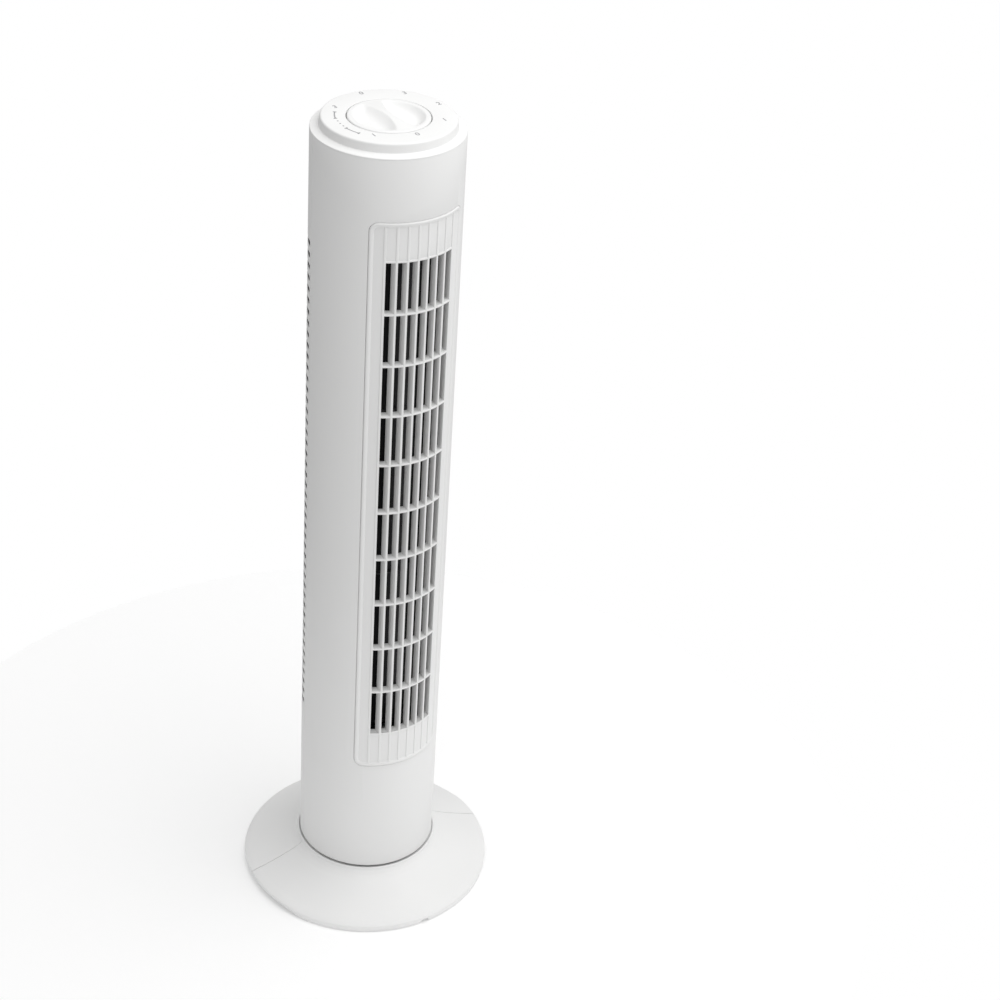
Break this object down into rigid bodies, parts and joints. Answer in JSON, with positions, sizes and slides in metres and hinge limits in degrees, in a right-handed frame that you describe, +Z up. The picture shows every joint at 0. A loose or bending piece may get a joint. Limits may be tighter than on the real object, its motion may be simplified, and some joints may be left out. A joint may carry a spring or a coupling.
{
  "type": "tower fan",
  "caption": "Free-standing tower fan: round column with a slotted front outlet, rear intake slots, a top dial and a wide round base it swings on.",
  "frame": {"origin": "on the floor at the centre of the base", "axes": "+Z up along the column; the outlet faces -Y at rest; +X is to the right as the outlet is faced from behind"},
  "size_m": [0.238, 0.239, 0.7893],
  "materials": {
    "white_plastic": "fine satin moulded ABS",
    "grey_plastic": "satin",
    "black_plastic": "satin",
    "nylon": "natural",
    "steel": "zinc plated",
    "lamination": "varnished",
    "copper": "enamelled wire",
    "rubber": "matt"
  },
  "bodies": {
    "base": {"base_front": "white_plastic", "base_rear": "white_plastic", "pivot_plate": "white_plastic", "slide_washer": "nylon", "retaining_ring": "steel", "cord_grommet": "rubber", "base_screw_1": "steel", "base_screw_2": "steel", "base_screw_3": "steel", "base_screw_4": "steel", "foot_1": "rubber", "foot_2": "rubber", "foot_3": "rubber", "foot_4": "rubber", "foot_5": "rubber", "foot_6": "rubber"},
    "tower": {"front_housing": "white_plastic", "rear_housing": "white_plastic", "outlet_grille": "white_plastic", "top_cover": "white_plastic", "turntable": "white_plastic", "run_capacitor": "white_plastic", "bearing_holder": "grey_plastic", "motor_bell_upper": "grey_plastic", "motor_bell_lower": "grey_plastic", "rotary_switch": "black_plastic", "lower_deck": "black_plastic", "upper_deck": "black_plastic", "air_guide": "black_plastic", "vortex_tongue": "black_plastic", "terminal_block": "nylon", "oscillation_motor": "steel", "switch_nut": "steel", "housing_screw_1": "steel", "housing_screw_2": "steel", "housing_screw_3": "steel", "housing_screw_4": "steel", "motor_screw_1": "steel", "motor_screw_2": "steel", "motor_screw_3": "steel", "oscillation_screw_1": "steel", "oscillation_screw_2": "steel", "motor_stator": "lamination", "motor_coil_upper": "copper", "motor_coil_lower": "copper", "bearing_bush": "rubber"},
    "rotor": {"impeller": "black_plastic", "motor_rotor": "lamination", "motor_shaft": "steel", "impeller_axle": "steel"},
    "dial": {"knob": "white_plastic", "switch_shaft": "steel"},
    "crank": {"crank_arm": "nylon", "crank_shaft": "steel"}
  },
  "joints": [
    {"name": "column_swing", "type": "hinge", "parent": "base", "child": "tower", "pos_m": [0, 0, 0], "axis": [0, 0, 1], "range_deg": [-38.3, 25.1]},
    {"name": "impeller_spin", "type": "hinge", "parent": "tower", "child": "rotor", "pos_m": [0, 0.006, 0], "axis": [0, 0, 1], "continuous": true},
    {"name": "dial_turn", "type": "hinge", "parent": "tower", "child": "dial", "pos_m": [0, 0, 0], "axis": [0, 0, 1], "continuous": true},
    {"name": "crank_turn", "type": "hinge", "parent": "tower", "child": "crank", "pos_m": [0, 0.038, 0], "axis": [0, 0, 1], "range_deg": [-97, 148]}
  ],
  "couplings": [
    {"joint": "crank_turn", "follows": "column_swing", "ratio": -3.834}
  ]
}
